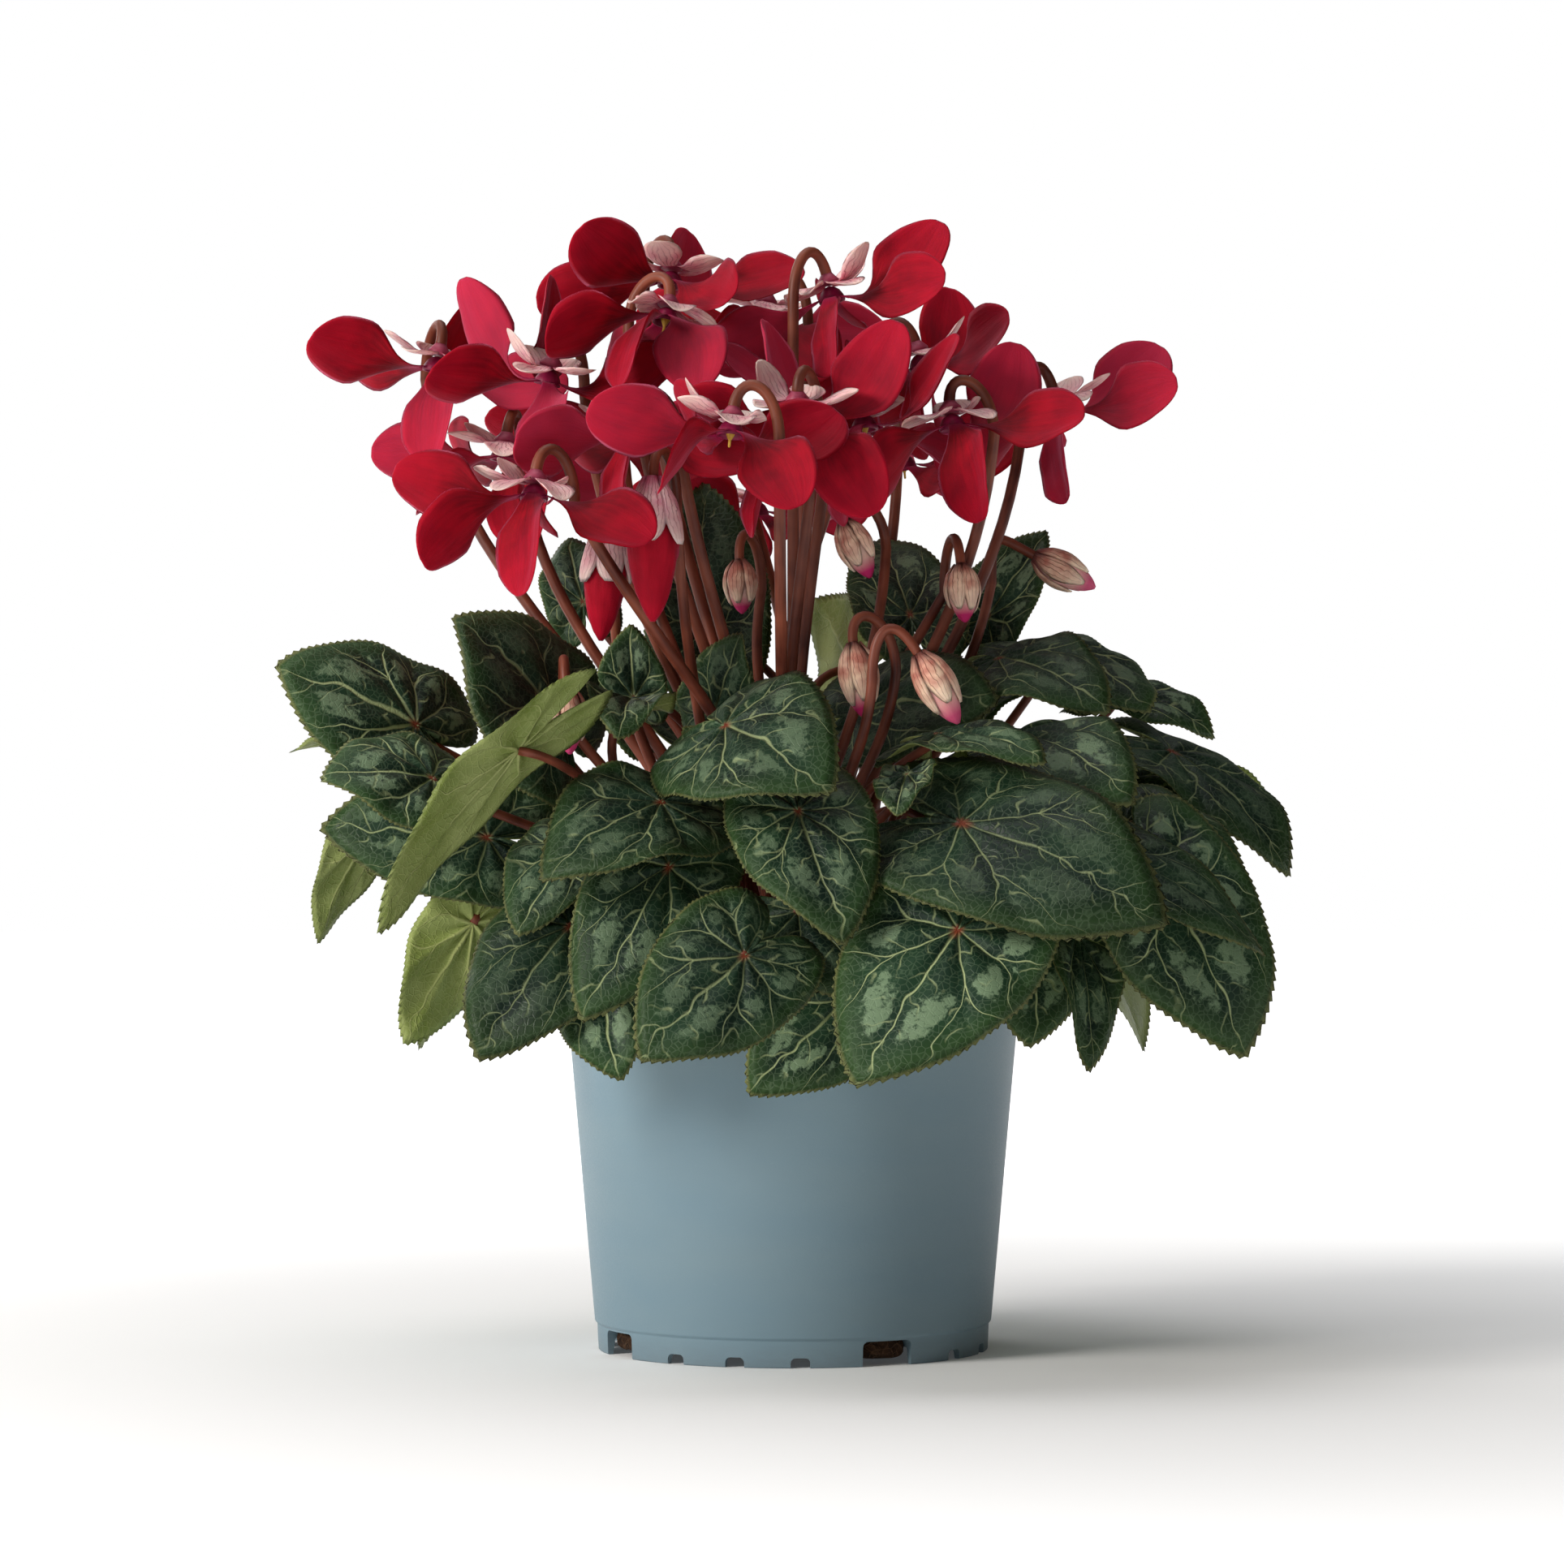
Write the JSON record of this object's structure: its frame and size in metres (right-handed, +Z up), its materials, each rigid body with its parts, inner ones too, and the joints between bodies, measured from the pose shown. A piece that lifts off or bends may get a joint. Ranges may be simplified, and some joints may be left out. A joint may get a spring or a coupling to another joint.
{
  "type": "potted cyclamen",
  "caption": "Florist's cyclamen in a plastic nursery pot: marbled heart-shaped leaves on long stalks round nodding blooms with swept-up crimson petals above the foliage.",
  "frame": {"origin": "middle of the plant's outline seen from above, on the surface that the pot stands on", "axes": "+Z up, the pictured side faces -Y, +X to the right of it"},
  "size_m": [0.2646, 0.2376, 0.2971],
  "materials": {
    "pot_plastic": "blue-grey moulded polypropylene, fine matt texture",
    "soil": "moist brown peat and fibre, rough",
    "tuber": "corky brown skin, rough",
    "leaf": "waxy dark green leaf with pale veins and silver marbling",
    "stem": "smooth reddish-brown stalk, slightly glossy",
    "petal": "velvety crimson petal"
  },
  "bodies": {
    "root": {"pot": "pot_plastic", "soil": "soil", "tuber": "tuber", "leaf_spray_01": "leaf", "leaf_spray_02": "leaf", "leaf_spray_03": "leaf", "leaf_spray_04": "leaf", "leaf_spray_05": "leaf", "leaf_spray_06": "leaf", "leaf_spray_07": "leaf", "leaf_spray_08": "leaf", "leaf_spray_09": "leaf", "leaf_spray_10": "leaf", "leaf_spray_11": "leaf", "leaf_spray_12": "leaf", "leaf_spray_13": "leaf", "leaf_spray_14": "leaf", "leaf_spray_15": "leaf", "bud_spray_01": "stem", "bud_spray_02": "stem", "bud_spray_03": "stem", "bloom_01_petals": "petal", "bloom_01_stem": "stem", "bloom_02_petals": "petal", "bloom_02_stem": "stem", "bloom_03_petals": "petal", "bloom_03_stem": "stem", "bloom_04_petals": "petal", "bloom_04_stem": "stem", "bloom_05_petals": "petal", "bloom_05_stem": "stem", "bloom_06_petals": "petal", "bloom_06_stem": "stem", "bloom_07_petals": "petal", "bloom_07_stem": "stem", "bloom_08_petals": "petal", "bloom_08_stem": "stem", "bloom_09_petals": "petal", "bloom_09_stem": "stem", "bloom_10_petals": "petal", "bloom_10_stem": "stem", "bloom_11_petals": "petal", "bloom_11_stem": "stem", "bloom_12_petals": "petal", "bloom_12_stem": "stem", "bloom_13_petals": "petal", "bloom_13_stem": "stem", "bloom_14_petals": "petal", "bloom_14_stem": "stem", "bloom_15_petals": "petal", "bloom_15_stem": "stem", "bloom_16_petals": "petal", "bloom_16_stem": "stem", "bloom_17_petals": "petal", "bloom_17_stem": "stem", "bloom_18_petals": "petal", "bloom_18_stem": "stem"}
  },
  "joints": []
}
